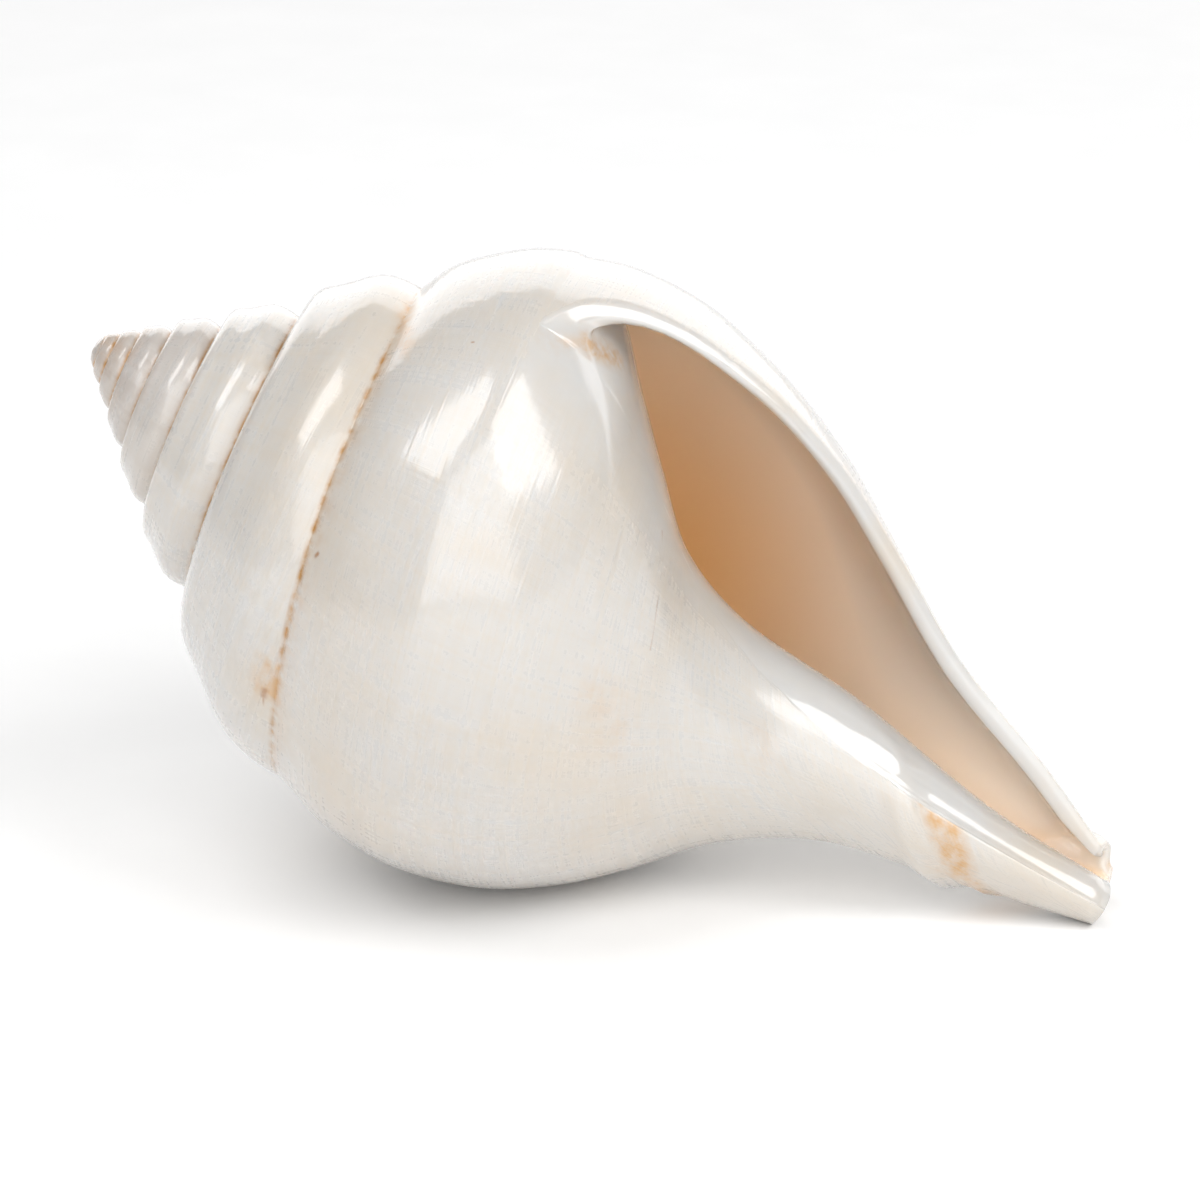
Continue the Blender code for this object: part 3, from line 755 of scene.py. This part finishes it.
def softbox(name, size, place_of_it, faces, radiance):
    """A softbox of this size that hangs here and faces that point."""
    light = bpy.data.lights.new(name, "AREA")
    light.shape = "RECTANGLE"
    light.size, light.size_y = size
    light.energy = np.pi * radiance * size[0] * size[1]
    holder = bpy.data.objects.new(name, light)
    holder.location = place_of_it
    holder.rotation_euler = (Vector(place_of_it) - Vector(faces)).to_track_quat("Z", "Y").to_euler()
    bpy.context.scene.collection.objects.link(holder)


def size_setting(name, description, default, least=0.0):
    return FloatProperty(name=name, description=description, default=default, min=least,
                         unit="LENGTH")


def colour_setting(name, description, code):
    """A colour setting, with the colour that it starts from as a hex code."""
    return FloatVectorProperty(name=name, description=description, subtype="COLOR",
                               default=linear(code), min=0, max=1)


class ConchForm(bpy.types.PropertyGroup):
    """Sizes of the relief"""

    fold_height: size_setting("Fold height", "Rise of the fold round the neck", 0.0014)
    wrinkle_height: size_setting("Wrinkle height", "Rise of the wrinkles beside the canal", 0.0006)
    thread_spacing: size_setting("Thread spacing", "Gap between the fine spiral threads", 0.0009, 0.0001)
    line_spacing: size_setting("Growth line spacing", "Gap between the growth lines", 0.0014, 0.0001)


class ConchLooks(bpy.types.PropertyGroup):
    """Colours of the shell"""

    white: colour_setting("White", "Clean outside", "#C7C5C2")
    cream: colour_setting("Cream", "Clouds and streaks on the outside", "#C8BBA9")
    old: colour_setting("Early whorls", "Grey lilac of the first whorls", "#A39B97")
    # This colour also paints the shade beside the sutures
    suture: colour_setting("Suture", "Brown skin left in the sutures", "#A67632")
    # This colour also paints the shade just past the fold
    stain: colour_setting("Stain", "Tan blotches", "#C2965E")
    scar: colour_setting("Scar", "Brown lines and spots", "#9A6B3E")
    inner: colour_setting("Aperture", "Cream just inside the lip", "#F7EADC")
    deep: colour_setting("Deep aperture", "Tan far inside", "#FBCB8E")


class GrowConch(bpy.types.Operator):
    """Grows the shell as one closed surface and lays it down"""

    bl_idname = "conch.grow_shell"
    bl_label = "Grow the shell"

    def execute(self, context):
        form = grow_shell()
        lay_down(form)
        soak(form)
        mesh = bpy.data.meshes.new("conch_shell")
        form.to_mesh(mesh)
        form.free()
        mesh.materials.append(aragonite())
        shell = bpy.data.objects.new("conch_shell", mesh)
        context.scene.collection.objects.link(shell)
        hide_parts("shell")
        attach(shell, "root")
        return {"FINISHED"}


class SetStage(bpy.types.Operator):
    """Lays the pale floor, and sets the soft lights and the camera"""

    bl_idname = "conch.set_stage"
    bl_label = "Set the stage"

    def execute(self, context):
        form = bmesh.new()
        bmesh.ops.create_grid(form, x_segments=FLOOR_FACES, y_segments=FLOOR_FACES, size=FLOOR_REACH)
        mesh = bpy.data.meshes.new("floor")
        form.to_mesh(mesh)
        form.free()
        mesh.materials.append(pale_ground())
        floor = bpy.data.objects.new("floor", mesh)
        context.scene.collection.objects.link(floor)

        target = laid((VIEW_AXIS_X, 0, VIEW_AXIS_Z))
        turn, height = np.radians(VIEW_TURN), np.radians(VIEW_HEIGHT)
        flat = np.cos(height)
        towards = Vector((np.sin(turn) * flat, -np.cos(turn) * flat, np.sin(height)))
        lens = bpy.data.cameras.new("camera")
        lens.lens, lens.sensor_width = LENS, SENSOR
        lens.clip_end = FAR_CLIP
        camera = bpy.data.objects.new("camera", lens)
        camera.location = target + towards * (FRAME_WIDTH * MM * LENS / SENSOR)
        camera.rotation_euler = towards.to_track_quat("Z", "Y").to_euler()
        context.scene.collection.objects.link(camera)
        context.scene.camera = camera

        for lamp in LAMPS:
            softbox(*lamp)
        world = bpy.data.worlds.new("studio")
        world.use_nodes = True
        sky = world.node_tree.nodes["Background"]
        sky.inputs["Color"].default_value = (1, 1, 1, 1)
        sky.inputs["Strength"].default_value = SKY
        context.scene.world = world
        context.scene.view_settings.view_transform = "Standard"
        return {"FINISHED"}


class ConchPanel(bpy.types.Panel):
    """Sizes, colours and steps of the shell"""

    bl_idname = "VIEW3D_PT_conch"
    bl_label = "Conch shell"
    bl_space_type = "VIEW_3D"
    bl_region_type = "UI"
    bl_category = "Shell"

    def draw(self, context):
        for group in (context.scene.conch_form, context.scene.conch_looks):
            for name in group.__annotations__:
                self.layout.prop(group, name)
        for step in STEPS:
            self.layout.operator(step.bl_idname)


STEPS = (GrowConch, SetStage)
CLASSES = (ConchForm, ConchLooks, *STEPS, ConchPanel)


def register():
    for kind in CLASSES:
        bpy.utils.register_class(kind)
    bpy.types.Scene.conch_form = PointerProperty(type=ConchForm)
    bpy.types.Scene.conch_looks = PointerProperty(type=ConchLooks)


def unregister():
    del bpy.types.Scene.conch_looks
    del bpy.types.Scene.conch_form
    for kind in reversed(CLASSES):
        bpy.utils.unregister_class(kind)


def main():
    register()
    bpy.ops.conch.grow_shell()
    bpy.ops.conch.set_stage()


if __name__ == "__main__":
    main()
